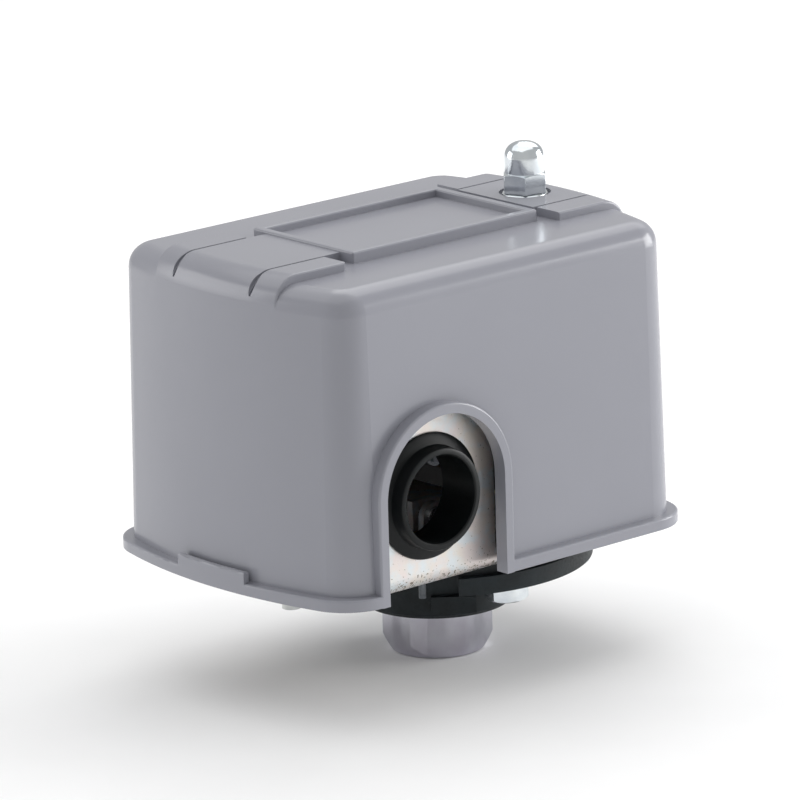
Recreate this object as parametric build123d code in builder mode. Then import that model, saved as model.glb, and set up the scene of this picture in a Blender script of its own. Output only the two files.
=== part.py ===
"""Pump pressure switch: a moulded cover over a snap-action switch on a diaphragm housing."""
import math
import os

from build123d import *

os.makedirs("parts", exist_ok=True)

# Millimetres. The origin is the centre of the pressure port's mouth, +Z runs up the port's
# axis, X runs along the cover and Y from the front conduit entry to the rear one.

# cover
lip_z = 26.4             # underside of the cover's lip
cover_x = -9.3           # middle of the cover
lip_chord = 92.6         # length between the ends' corners
lip_width = 77.0
end_bow = 6.3            # each end bulges this much past its corners
corner_r = 10.6
lip_h = 2.5
lip_proud = 2.0          # how far the lip stands out from the wall
cover_wall = 2.0
draft = 1.1              # degrees
low_top = 64.8           # flat top beside the raised strips, above the lip
band_top = 66.6          # top of the strips, tongue and pad, above the lip
edge_r = 5.0

# conduit entries
conduit_x = -30.2
conduit_z = 45.2
conduit_bore_r = 9.2
tube_r = 10.6
bushing_r = 13.2
arch_x, arch_z = conduit_x + 0.2, lip_z + 21.0
arch_r, arch_rim = 15.8, 2.2
arch_depth = 3.2         # from the lip's face inwards; the wall is relieved behind it

# steel frame
sheet = 1.6
base_z = 25.8            # underside of the frame's base
floor_z = base_z + sheet
wall_y = 32.6            # outer face of the side walls
frame_left, wall_right, base_right = -48.0, -12.1, 30.5
ground_screw_places, ground_screw_l = ((-44.0, -5.2), (-42.0, 14.0)), 8.5
wall_top = 68.4

# pressure side
flange_r, flange_z, flange_t = 33.0, 20.1, 3.7
boss_r, hex_top = 16.3, 10.3
ring_r = 30.8            # clamp ring on the flange
hex_flats, hex_clock = 20.0, 18.5
thread_r, thread_depth = 5.7, 9.0
bolt_circle_r, bolt_clock, bolt_shank_r = 27.5, -99.7, 2.0
dowel_place, dowel_r = (-19.3, -17.7), 0.75
piston_r = 12.0
notch_turn = -40.8       # direction of the notch in the flange and the ring
notch_w, notch_place = 30.4, (-10.8, -27.0)

# mechanism
lever_x, lever_z = -16.0, 35.0
arm_x, arm_z = 0.5, 40.0
lever_ear_y, arm_ear_y = 17.8, 28.6   # middle planes of the ears that hold the two pins
pin_r = 1.5
range_x = 27.6           # range stud, under the cap nut
diff_x, diff_y = 15.0, 8.0
stud_r, tip_r, diff_stud_r = 3.0, 2.1, 2.4
range_seat_z, diff_seat_z = 72.0, 57.0
block_x = (-16.5, -7.0)
block_z = (42.0, 64.0)
pole_y = (-20.0, -7.0, 7.0, 20.0)
fit = 0.05               # running clearance, radial


def save(part, name):
    """Label a finished sub-part and write its file."""
    part.label = name
    export_step(part, f"parts/{name}.step")


def cover_plan(inset, z):
    """The cover's plan with bowed ends, drawn in by inset."""
    x, y = lip_chord / 2 - inset, lip_width / 2 - inset
    with BuildSketch(Plane((cover_x, 0, z))) as plan:
        with BuildLine():
            for side in (-1, 1):
                Line((-x, side * y), (x, side * y))
                ThreePointArc((side * x, -y), (side * (x + end_bow), 0), (side * x, y))
        make_face()
        fillet(plan.vertices(), corner_r - inset)
    return plan.sketch


def cover_block(inset, height, edge):
    """A drafted block on the cover's plan with a rounded top edge."""
    with BuildPart() as block:
        extrude(cover_plan(inset, lip_z), amount=height, taper=draft)
        fillet(block.faces().sort_by(Axis.Z)[-1].edges(), edge)
    return block.part


def doorway(radius, y, depth, edge=0.0):
    """A round-topped doorway, from the front face at y inwards, open at the lip."""
    with BuildPart() as block:
        with BuildSketch(Plane.XZ.offset(y)):
            with Locations((arch_x, arch_z)):
                Circle(radius)
            with Locations((arch_x, (arch_z + lip_z) / 2)):
                Rectangle(2 * radius, arch_z - lip_z)
        extrude(amount=-depth)
        if edge:
            front_face = block.faces().sort_by(Axis.Y)[0]
            fillet(front_face.edges().filter_by(lambda e: e.center().Z > lip_z + 1), edge)
    return block.part


# ---- cover ----
strip_half, tongue_half, slit = 19.0, 11.7, 0.6
strip_end = 29.0         # the strips stop this far from the cover's middle
raised_edge_r = edge_r + 0.8
groove_depth = 1.6
plate_x, plate_y, plate_bar = (-24.3, 26.1), 15.7, 2.0
plate_top, plate_floor = 67.2, 65.6
soft = 0.45              # rounding of the moulding's small edges
pad_gap = 2.0            # between the nameplate and the pad
pad_gap_x = cover_x + plate_x[1] + 0.4 + pad_gap / 2

# strips, tongue and pad, wrapped over the rounded ends
with BuildPart() as raised_band:
    add(cover_block(lip_proud, band_top, raised_edge_r))
    with BuildSketch(Plane.XY.offset(lip_z)):
        for side in (-1, 1):
            with Locations((cover_x + side * (strip_end + 20), 0)):
                Rectangle(40, 2 * strip_half)
        with Locations((cover_x, 0)):
            Rectangle(2 * strip_end, 2 * tongue_half)
    extrude(amount=100, mode=Mode.INTERSECT)
    outer_edges = raised_band.edges().filter_by(
        lambda edge: abs(abs(edge.center().Y) - strip_half) < 0.01 and edge.center().Z > lip_z + 5)
    fillet(outer_edges, soft)

# thin slits between them, deeper than the rest of the top
with BuildPart() as slits:
    add(cover_block(lip_proud - 1, band_top + 1, edge_r + 1))
    add(cover_block(lip_proud + groove_depth, band_top - groove_depth, edge_r), mode=Mode.SUBTRACT)
    with BuildSketch(Plane.XY.offset(lip_z + 62.0)):
        for side in (-1, 1):
            with Locations((cover_x, side * (tongue_half + slit / 2))):
                Rectangle(120, slit)
        with Locations((pad_gap_x, 0)):
            Rectangle(pad_gap, 2 * tongue_half)
    extrude(amount=10, mode=Mode.INTERSECT)

# where a slit turns over an end it opens into a pointed crescent
crescent_half, crescent_w, crescent_depth = 3.6, 1.3, 1.3
bend_x, bend_z = 47.9, lip_z + 64.9
with BuildPart() as crescents:
    for end in (-1, 1):
        for side in (-1, 1):
            outward = Vector(end, 0, 1).normalized()
            place = Plane((cover_x + end * bend_x, side * (tongue_half + slit / 2), bend_z),
                          x_dir=(0, 1, 0), z_dir=outward)
            with BuildSketch(place):
                with BuildLine():
                    ThreePointArc((0, -crescent_half), (crescent_w / 2, 0), (0, crescent_half))
                    ThreePointArc((0, crescent_half), (-crescent_w / 2, 0), (0, -crescent_half))
                make_face()
            extrude(amount=crescent_depth, both=True)

# the nameplate's rim; its sunken floor is left blank
with BuildPart() as plate_rim:
    with BuildSketch(Plane((cover_x + sum(plate_x) / 2, 0, lip_z + low_top - 1))):
        Rectangle(plate_x[1] - plate_x[0], 2 * plate_y)
    extrude(amount=plate_top - low_top + 1)
    fillet(plate_rim.edges().filter_by(Axis.Z), soft)
    with BuildSketch(Plane((cover_x + sum(plate_x) / 2, 0, lip_z + plate_floor))):
        Rectangle(plate_x[1] - plate_x[0] - 2 * plate_bar, 2 * (plate_y - plate_bar))
    extrude(amount=5, mode=Mode.SUBTRACT)
    fillet(plate_rim.faces().sort_by(Axis.Z)[-1].edges(), soft)

with BuildPart() as lip_bead:
    extrude(cover_plan(0, lip_z), amount=lip_h)
    fillet(lip_bead.faces().sort_by(Axis.Z)[-1].edges(), soft)
    fillet(lip_bead.faces().sort_by(Axis.Z)[0].edges(), 0.3)

# tab that stands up from the left end's lip, with a gap behind it
tab_y, tab_w, tab_h, tab_t = -0.8, 20.8, 4.9, 1.3
with BuildPart() as lip_tab:
    with BuildSketch(Plane.XY.offset(lip_z + 1)):
        add(cover_plan(0, 0).moved(Location((0, 0, lip_z + 1))))
        add(cover_plan(tab_t, 0).moved(Location((0, 0, lip_z + 1))), mode=Mode.SUBTRACT)
        with Locations((cover_x - 50, tab_y)):
            Rectangle(20, tab_w, mode=Mode.INTERSECT)
    extrude(amount=tab_h - 1)
    fillet(lip_tab.faces().sort_by(Axis.Z)[-1].edges(), 0.4)

front = lip_width / 2
rim = doorway(arch_r + arch_rim, front, arch_depth, soft)
opening = doorway(arch_r, front + 1, 8.0)
relief = doorway(arch_r + arch_rim, front - arch_depth, 4.0)

with BuildPart() as cover:
    add(cover_block(lip_proud, low_top, edge_r))
    add(raised_band.part)
    add(lip_bead.part)
    add(slits.part, mode=Mode.SUBTRACT)
    add(crescents.part, mode=Mode.SUBTRACT)
    add(plate_rim.part)
    with BuildSketch(Plane((cover_x + sum(plate_x) / 2, 0, lip_z + plate_floor))):
        Rectangle(plate_x[1] - plate_x[0] - 2 * plate_bar, 2 * (plate_y - plate_bar))
    extrude(amount=5, mode=Mode.SUBTRACT)
    add(lip_tab.part)
    add(cover_block(lip_proud + cover_wall, low_top - cover_wall, edge_r - cover_wall),
        mode=Mode.SUBTRACT)
    for turned in (rim, rim.mirror(Plane.XZ)):
        add(turned)
    for cut in (opening, opening.mirror(Plane.XZ), relief, relief.mirror(Plane.XZ)):
        add(cut, mode=Mode.SUBTRACT)
    # recess and hole for the cap nut
    with Locations((range_x, 0, lip_z + 65.8)):
        Cylinder(5.5, 5, align=(Align.CENTER, Align.CENTER, Align.MIN), mode=Mode.SUBTRACT)
    with Locations((range_x, 0, lip_z + 55)):
        Cylinder(2.7, 20, align=(Align.CENTER, Align.CENTER, Align.MIN), mode=Mode.SUBTRACT)
save(cover.part, "cover")

# ---- cap nut ----
nut_z = lip_z + 65.8
nut_flats, nut_flange_t, nut_hex_h, nut_h = 8.7, 0.8, 4.3, 11.7
with BuildPart() as cap_nut:
    with Locations((range_x, 0, nut_z)):
        Cylinder(4.85, nut_flange_t, align=(Align.CENTER, Align.CENTER, Align.MIN))
    with BuildSketch(Plane((range_x, 0, nut_z + nut_flange_t))):
        RegularPolygon(nut_flats / 2, 6, major_radius=False, rotation=-notch_turn - 10)
    extrude(amount=nut_hex_h)
    with BuildSketch(Plane((range_x, 0, 0), x_dir=(1, 0, 0), z_dir=(0, -1, 0))):
        with BuildLine():
            dome_z = nut_z + nut_flange_t + nut_hex_h
            Line((0, dome_z), (4.2, dome_z))
            Line((4.2, dome_z), (4.2, dome_z + 3.0))
            Spline((4.2, dome_z + 3.0), (2.9, dome_z + 5.6), (0, nut_z + nut_h),
                   tangents=((0, 1), (-1, 0)))
            Line((0, nut_z + nut_h), (0, dome_z))
        make_face()
    revolve(axis=Axis((range_x, 0, 0), (0, 0, 1)))
    with Locations((range_x, 0, nut_z)):
        Cylinder(tip_r + fit, 8.0, align=(Align.CENTER, Align.CENTER, Align.MIN), mode=Mode.SUBTRACT)
save(cap_nut.part, "cap_nut")

# ---- steel frame: a U with two walls, ears for the arm and holes ----
bend_r = 3.2
wall_foot = floor_z + 3  # the walls of the wiring side rise past the low flange's height here
with BuildPart() as frame:
    with BuildSketch(Plane((frame_left, 0, 0), x_dir=(0, 1, 0), z_dir=(1, 0, 0))) as u_outer:
        with Locations((0, (base_z + wall_top) / 2)):
            Rectangle(2 * wall_y, wall_top - base_z)
        fillet(u_outer.vertices().group_by(Axis.Z)[0], bend_r)
    extrude(amount=base_right - frame_left)
    with BuildSketch(Plane((frame_left, 0, 0), x_dir=(0, 1, 0), z_dir=(1, 0, 0))) as u_inner:
        with Locations((0, (floor_z + wall_top + 5) / 2)):
            Rectangle(2 * (wall_y - sheet), wall_top + 5 - floor_z)
        fillet(u_inner.vertices().group_by(Axis.Z)[0], bend_r - sheet)
    extrude(amount=base_right - frame_left, mode=Mode.SUBTRACT)
    # walls stop at the wiring side; a low flange stiffens the rest
    with BuildSketch(Plane.XY.offset(wall_foot)):
        with Locations(((wall_right + 60) / 2, 0)):
            Rectangle(60 - wall_right, 90)
    extrude(amount=60, mode=Mode.SUBTRACT)
    # tongue of the base under the range stud
    with BuildSketch(Plane.XY.offset(base_z)):
        with Locations((base_right, 0)):
            Rectangle(11, 32)
    extrude(amount=sheet)
    # cross holes: conduit entries and the terminal block's screws
    with BuildSketch(Plane.XZ.offset(60)):
        with Locations((conduit_x, conduit_z)):
            Circle(tube_r + 0.1)
        with Locations((block_x[0] + 2.2, block_z[1] - 4)):
            Circle(1.6)
    extrude(amount=-120, mode=Mode.SUBTRACT)
    with BuildSketch(Plane.XY.offset(base_z)):
        Circle(piston_r + 0.5)
        for index in range(5):
            turn = math.radians(bolt_clock + 60 * index)
            with Locations((bolt_circle_r * math.cos(turn), bolt_circle_r * math.sin(turn))):
                Circle(bolt_shank_r + fit)
        with Locations(dowel_place):
            Circle(dowel_r)
        with Locations((range_x, 0)):
            Circle(stud_r)
        with Locations((diff_x, diff_y)):
            Circle(diff_stud_r)
        with Locations(*ground_screw_places):
            Circle(2.0 + fit)
    extrude(amount=sheet, mode=Mode.SUBTRACT)
# one bent sheet, saved as its base and its walls
for name, kept in (("frame_bracket", Keep.BOTTOM), ("frame_walls", Keep.TOP)):
    with BuildPart() as half:
        add(frame.part)
        split(bisect_by=Plane.XY.offset(wall_foot), keep=kept)
    save(half.part, name)

# ---- ears welded to the frame's floor, which hold the pins of the arm and the lever ----
ear_r = 3.2
with BuildPart() as ears:
    for pin_x, pin_z, ear_y, ear_w in ((arm_x, arm_z, arm_ear_y, 8), (lever_x, lever_z, lever_ear_y, 7)):
        for side in (-1, 1):
            with BuildSketch(Plane.XZ.offset(side * ear_y + sheet / 2)):
                with BuildLine():
                    Polyline((pin_x - ear_r, pin_z), (pin_x - ear_w / 2, floor_z),
                             (pin_x + ear_w / 2, floor_z), (pin_x + ear_r, pin_z))
                    ThreePointArc((pin_x + ear_r, pin_z), (pin_x, pin_z + ear_r), (pin_x - ear_r, pin_z))
                make_face()
                with Locations((pin_x, pin_z)):
                    Circle(pin_r, mode=Mode.SUBTRACT)
            extrude(amount=-sheet)
save(ears.part, "pivot_ears")

# ---- conduit bushings and the rings that hold them ----
bushing_face = 33.8      # front of the bushing's flange, from the middle plane
tube_out, tube_in = 37.0, 26.5
bushing_profile = [
    (conduit_bore_r, tube_in), (tube_r, tube_in), (tube_r, wall_y), (bushing_r, wall_y),
    (bushing_r, wall_y + 0.5), (tube_r + 0.6, bushing_face), (tube_r, bushing_face + 0.4),
    (tube_r, tube_out), (conduit_bore_r, tube_out),
]
for name, side in (("front", -1), ("rear", 1)):
    axis = Axis((conduit_x, 0, conduit_z), (0, side, 0))
    entry = Plane((conduit_x, 0, conduit_z), x_dir=(1, 0, 0), z_dir=(0, 0, 1))
    with BuildPart() as bushing:
        with BuildSketch(entry):
            with BuildLine():
                Polyline(*[(r, side * y) for r, y in bushing_profile], close=True)
            make_face()
        revolve(axis=axis)
    save(bushing.part, f"conduit_bushing_{name}")
    with BuildPart() as retainer:
        with BuildSketch(entry):
            with Locations(((tube_r + fit + bushing_r) / 2, side * (wall_y - sheet - 1.1))):
                Rectangle(bushing_r - tube_r - fit, 2.2)
        revolve(axis=axis)
    save(retainer.part, f"bushing_retainer_{name}")

# ---- ground screws on the frame's floor ----
with BuildPart() as ground_screws:
    for x, y in ground_screw_places:
        with Locations((x, y, floor_z)):
            Cylinder(3.4, 2.4, align=(Align.CENTER, Align.CENTER, Align.MIN))
            Cylinder(2.0, ground_screw_l, align=(Align.CENTER, Align.CENTER, Align.MAX))
        with Locations((x, y, floor_z + 2.4)):
            Box(5.0, 0.9, 1.6, mode=Mode.SUBTRACT)
save(ground_screws.part, "ground_screws")

# ---- pressure housing: flange and boss in one casting ----
clamp_top = base_z
clamp_z = flange_z + flange_t
spigot_r, spigot_top = 7.5, 15.5
lug_x, lug_w, lug_z, lug_h = 3.4, 9.3, 12.1, 3.5
with BuildPart() as housing:
    with Locations((0, 0, flange_z)):
        Cylinder(flange_r, flange_t, align=(Align.CENTER, Align.CENTER, Align.MIN))
    with Locations((0, 0, hex_top)):
        Cylinder(boss_r, flange_z - hex_top, align=(Align.CENTER, Align.CENTER, Align.MIN))
    chamfer(housing.faces().sort_by(Axis.Z)[0].edges(), 0.8)
    # the chamber under the diaphragm and the seat of the port fitting
    with Locations((0, 0, clamp_z)):
        Cylinder(14.0, 3.2, align=(Align.CENTER, Align.CENTER, Align.MAX), mode=Mode.SUBTRACT)
    with Locations((0, 0, hex_top)):
        Cylinder(spigot_r, spigot_top - hex_top, align=(Align.CENTER, Align.CENTER, Align.MIN),
                 mode=Mode.SUBTRACT)
        Cylinder(2.5, 20, align=(Align.CENTER, Align.CENTER, Align.MIN), mode=Mode.SUBTRACT)
    with PolarLocations(bolt_circle_r, 5, start_angle=bolt_clock, angular_range=300):
        Cylinder(bolt_shank_r + fit, 100, mode=Mode.SUBTRACT)
    # the notch in the flange towards one corner
    with Locations(Plane.XY.rotated((0, 0, notch_turn)).location):
        with Locations((*notch_place, flange_z + flange_t / 2)):
            Box(notch_w, 16.0, flange_t, mode=Mode.SUBTRACT)
        # a lug on the boss below the notch
        with Locations((lug_x, -boss_r, lug_z)):
            Box(lug_w, 3.0, lug_h, align=(Align.CENTER, Align.CENTER, Align.MIN))
save(housing.part, "pressure_housing")

# ---- port fitting: hexagon with the threaded port and a spigot ----
with BuildPart() as fitting:
    with BuildSketch():
        RegularPolygon(hex_flats / 2, 6, major_radius=False, rotation=hex_clock)
    extrude(amount=hex_top)
    # the hexagon's mouth is turned to a cone
    with BuildSketch(Plane.XZ) as cone_section:
        with BuildLine():
            Polyline((0, 0), (9.9, 0), (12.2, 4.0), (12.2, hex_top), (0, hex_top), close=True)
        make_face()
    revolve(axis=Axis.Z, mode=Mode.INTERSECT)
    with Locations((0, 0, hex_top)):
        Cylinder(spigot_r - 0.02, spigot_top - hex_top - 0.3, align=(Align.CENTER, Align.CENTER, Align.MIN))
    Cylinder(thread_r, thread_depth, align=(Align.CENTER, Align.CENTER, Align.MIN), mode=Mode.SUBTRACT)
    Cylinder(2.5, 20, align=(Align.CENTER, Align.CENTER, Align.MIN), mode=Mode.SUBTRACT)
save(fitting.part, "port_fitting")

# ---- diaphragm, clamp ring and piston ----
diaphragm_r, diaphragm_t = 21.0, 1.2
with BuildPart() as diaphragm:
    with Locations((0, 0, clamp_z)):
        Cylinder(diaphragm_r, diaphragm_t, align=(Align.CENTER, Align.CENTER, Align.MIN))
save(diaphragm.part, "diaphragm")

with BuildPart() as clamp_ring:
    with Locations((0, 0, clamp_z)):
        Cylinder(ring_r, clamp_top - clamp_z, align=(Align.CENTER, Align.CENTER, Align.MIN))
        Cylinder(diaphragm_r + 0.2, diaphragm_t, align=(Align.CENTER, Align.CENTER, Align.MIN),
                 mode=Mode.SUBTRACT)
        Cylinder(piston_r + 0.4, 10, align=(Align.CENTER, Align.CENTER, Align.MIN), mode=Mode.SUBTRACT)
    with PolarLocations(bolt_circle_r, 5, start_angle=bolt_clock, angular_range=300):
        Cylinder(bolt_shank_r + fit, 100, mode=Mode.SUBTRACT)
    with Locations(Plane.XY.rotated((0, 0, notch_turn)).location):
        with Locations((*notch_place, clamp_z + 1.5)):
            Box(notch_w, 10.0, 10.0, mode=Mode.SUBTRACT)
save(clamp_ring.part, "clamp_ring")

piston_z, piston_top = clamp_z + diaphragm_t + 0.3, 31.2
with BuildPart() as piston:
    with Locations((0, 0, piston_z)):
        Cylinder(piston_r, 2.6, align=(Align.CENTER, Align.CENTER, Align.MIN))
        Cylinder(5.0, piston_top - piston_z, align=(Align.CENTER, Align.CENTER, Align.MIN))
    fillet(piston.faces().sort_by(Axis.Z)[-1].edges(), 0.8)
save(piston.part, "piston")

# ---- hexagon bolts under the flange; a thin dowel hangs down in its notch ----
bolt_flats, bolt_head_h = 8.0, 3.4
with BuildPart() as bolts:
    for index in range(5):
        turn = math.radians(bolt_clock + 60 * index)
        place = (bolt_circle_r * math.cos(turn), bolt_circle_r * math.sin(turn))
        with BuildSketch(Plane((*place, flange_z - bolt_head_h))):
            RegularPolygon(bolt_flats / 2, 6, major_radius=False, rotation=15)
        extrude(amount=bolt_head_h)
        with Locations((*place, flange_z)):
            Cylinder(bolt_shank_r, floor_z - flange_z, align=(Align.CENTER, Align.CENTER, Align.MIN))
save(bolts.part, "flange_bolts")

with BuildPart() as dowel:
    with Locations((*dowel_place, floor_z)):
        Cylinder(dowel_r, 9.3, align=(Align.CENTER, Align.CENTER, Align.MAX))
save(dowel.part, "housing_dowel")

# ---- pressure lever: a channel on a cross pin, pushed up by the piston ----
lever_z0, lever_half = 31.6, 15.0
with BuildPart() as lever:
    with BuildSketch(Plane.XY.offset(lever_z0)):
        with Locations(((lever_x - 2 + 37) / 2, 0)):
            Rectangle(37 - (lever_x - 2), 2 * lever_half)
    extrude(amount=sheet)
    with BuildSketch(Plane.XZ.offset(lever_half)) as side_plate:
        with BuildLine():
            Polyline((lever_x - 3, lever_z0), (lever_x - 3, lever_z + 3), (lever_x + 3, lever_z + 3),
                     (lever_x + 8, lever_z0 + 4.4), (22, lever_z0 + 4.4), (25, lever_z0), close=True)
        make_face()
    extrude(amount=-sheet)
    extrude(side_plate.sketch.moved(Location((0, 2 * lever_half, 0))), amount=sheet)
    # post that the toggle spring hooks on
    with Locations((14.0, -11.5, lever_z0)):
        Box(sheet, 5.0, 22.0, align=(Align.CENTER, Align.CENTER, Align.MIN))
    with BuildSketch(Plane.XZ.offset(60)):
        with Locations((lever_x, lever_z)):
            Circle(pin_r + fit)
    extrude(amount=-120, mode=Mode.SUBTRACT)
    with BuildSketch(Plane.XY.offset(lever_z0 - 1)):
        with Locations((range_x, 0)):
            Circle(stud_r + 1.2)
        with Locations((diff_x, diff_y)):
            Circle(diff_stud_r + 1.0)
    extrude(amount=3, mode=Mode.SUBTRACT)
save(lever.part, "pressure_lever")


def cross_pin(x, z, half, name):
    """A plain pin through both walls or ears, its ends upset to small heads."""
    with BuildPart() as pin:
        with BuildSketch(Plane.XZ.offset(half)):
            with Locations((x, z)):
                Circle(pin_r)
        extrude(amount=-2 * half)
        for side in (-1, 1):
            with BuildSketch(Plane.XZ.offset(side * half)):
                with Locations((x, z)):
                    Circle(pin_r + 0.7)
            extrude(amount=side * 0.7)
    save(pin.part, name)


cross_pin(lever_x, lever_z, lever_ear_y + sheet / 2, "lever_pivot_pin")
cross_pin(arm_x, arm_z, arm_ear_y + sheet / 2, "arm_pivot_pin")

# ---- studs with their foot nuts ----
range_top = lip_z + 71.5
range_step = lip_z + 61.0
with BuildPart() as range_stud:
    with Locations((range_x, 0, base_z)):
        Cylinder(stud_r, range_step - base_z, align=(Align.CENTER, Align.CENTER, Align.MIN))
    with Locations((range_x, 0, range_step)):
        Cylinder(tip_r, range_top - range_step, align=(Align.CENTER, Align.CENTER, Align.MIN))
save(range_stud.part, "range_stud")

diff_top = 66.0
with BuildPart() as diff_stud:
    with Locations((diff_x, diff_y, base_z)):
        Cylinder(diff_stud_r, diff_top - base_z, align=(Align.CENTER, Align.CENTER, Align.MIN))
save(diff_stud.part, "differential_stud")


def hex_nut(x, y, z, flats, height, hole):
    """A plain hexagon nut standing on z."""
    with BuildPart() as nut:
        with BuildSketch(Plane((x, y, z))):
            RegularPolygon(flats / 2, 6, major_radius=False)
            Circle(hole, mode=Mode.SUBTRACT)
        extrude(amount=height)
    return nut.part


with BuildPart() as foot_nuts:
    add(hex_nut(range_x, 0, floor_z, 9.5, 2.4, stud_r))
    add(hex_nut(diff_x, diff_y, floor_z, 8.0, 2.4, diff_stud_r))
save(foot_nuts.part, "stud_foot_nuts")


def spring_seat(x, y, z, radius, hole, name):
    """A dished steel washer that caps a spring."""
    with BuildPart() as seat:
        with Locations((x, y, z)):
            Cylinder(radius, 1.6, align=(Align.CENTER, Align.CENTER, Align.MIN))
            Cylinder(hole + 1.6, 2.2, align=(Align.CENTER, Align.CENTER, Align.MIN))
            Cylinder(hole, 5, align=(Align.CENTER, Align.CENTER, Align.MIN), mode=Mode.SUBTRACT)
    save(seat.part, name)


spring_seat(range_x, 0, range_seat_z, 8.8, stud_r + fit, "range_spring_seat")
spring_seat(diff_x, diff_y, diff_seat_z, 5.4, diff_stud_r + fit, "differential_spring_seat")
nut_gap = 0.3
range_nut = hex_nut(range_x, 0, range_seat_z + 2.2 + nut_gap, 11.1, 5.0, stud_r + fit)
save(range_nut, "range_nut")
diff_nut = hex_nut(diff_x, diff_y, diff_seat_z + 2.2 + nut_gap, 8.7, 4.0, diff_stud_r + fit)
save(diff_nut, "differential_nut")


def spring_sleeve(x, y, low, high, outer, inner, name):
    """The space a coil spring fills, as a sleeve."""
    with BuildPart() as sleeve:
        with BuildSketch(Plane((x, y, low))):
            Circle(outer)
            Circle(inner, mode=Mode.SUBTRACT)
        extrude(amount=high - low)
    save(sleeve.part, name)


spring_foot = lever_z0 + sheet + 0.3
spring_sleeve(range_x, 0, spring_foot, range_seat_z - 0.3, 8.4, 5.6, "range_spring")
spring_sleeve(diff_x, diff_y, spring_foot, diff_seat_z - 0.3, 5.2, 3.7, "differential_spring")

# ---- terminal block between the walls ----
block_y = wall_y - sheet - 0.1
with BuildPart() as block:
    with Locations(((block_x[0] + block_x[1]) / 2, 0, block_z[0])):
        Box(block_x[1] - block_x[0], 2 * block_y, block_z[1] - block_z[0],
            align=(Align.CENTER, Align.CENTER, Align.MIN))
    # the poles sit in pockets with barriers between them
    for y in pole_y:
        with Locations((block_x[0], y, block_z[0] + 4)):
            Box(6.0, 10.6, 30, align=(Align.CENTER, Align.CENTER, Align.MIN), mode=Mode.SUBTRACT)
    for y in pole_y:
        with BuildSketch(Plane((block_x[0] + 3, y, 50.0), x_dir=(0, 1, 0), z_dir=(1, 0, 0))):
            Circle(2.0)
        extrude(amount=10, mode=Mode.SUBTRACT)
        with BuildSketch(Plane((block_x[0] + 3, y, 58.0), x_dir=(0, 1, 0), z_dir=(1, 0, 0))):
            Circle(1.5)
        extrude(amount=10, mode=Mode.SUBTRACT)
    with BuildSketch(Plane.XZ.offset(60)):
        with Locations((block_x[0] + 2.2, block_z[1] - 4)):
            Circle(1.25)
    extrude(amount=-120, mode=Mode.SUBTRACT)
save(block.part, "terminal_block")

pocket_x = block_x[0] + 3.0
with BuildPart() as plates:
    for y in pole_y:
        with Locations((pocket_x, y, 54.0)):
            Box(0.9, 10.0, 15.5, align=(Align.MAX, Align.CENTER, Align.CENTER))
        for z, hole in ((50.0, 2.0), (58.0, 1.5)):
            with BuildSketch(Plane((pocket_x - 2, y, z), x_dir=(0, 1, 0), z_dir=(1, 0, 0))):
                Circle(hole)
            extrude(amount=3, mode=Mode.SUBTRACT)
save(plates.part, "terminal_plates")

with BuildPart() as clamps:
    for y in pole_y:
        with Locations((pocket_x - 0.9, y, 50.0)):
            Box(1.0, 8.4, 7.4, align=(Align.MAX, Align.CENTER, Align.CENTER))
        with BuildSketch(Plane((pocket_x - 4, y, 50.0), x_dir=(0, 1, 0), z_dir=(1, 0, 0))):
            Circle(2.0)
        extrude(amount=4, mode=Mode.SUBTRACT)
save(clamps.part, "terminal_clamps")

with BuildPart() as screws:
    for y in pole_y:
        head_plane = Plane((pocket_x - 1.9, y, 50.0), x_dir=(0, 1, 0), z_dir=(-1, 0, 0))
        with BuildSketch(head_plane):
            Circle(3.5)
        extrude(amount=2.2)
        with BuildSketch(head_plane):
            Circle(1.95)
        extrude(amount=-7.4)
        with Locations((pocket_x - 4.1, y, 50.0)):
            Box(1.6, 5.4, 0.9, mode=Mode.SUBTRACT)
            Box(1.6, 0.9, 5.4, mode=Mode.SUBTRACT)
save(screws.part, "terminal_screws")

contact_z = 58.0
with BuildPart() as fixed_contacts:
    for y in pole_y:
        with BuildSketch(Plane((pocket_x - 1.2, y, contact_z), x_dir=(0, 1, 0), z_dir=(1, 0, 0))):
            Circle(1.45)
        extrude(amount=block_x[1] - pocket_x + 1.2)
        with BuildSketch(Plane((block_x[1], y, contact_z), x_dir=(0, 1, 0), z_dir=(1, 0, 0))):
            Circle(2.6)
        extrude(amount=0.8)
save(fixed_contacts.part, "fixed_contacts")

with BuildPart() as block_screws:
    for side in (-1, 1):
        with BuildSketch(Plane.XZ.offset(side * wall_y)):
            with Locations((block_x[0] + 2.2, block_z[1] - 4)):
                Circle(2.6)
        extrude(amount=side * 0.9)
        with BuildSketch(Plane.XZ.offset(side * wall_y)):
            with Locations((block_x[0] + 2.2, block_z[1] - 4)):
                Circle(1.2)
        extrude(amount=-side * 6.4)
save(block_screws.part, "block_screws")

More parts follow.
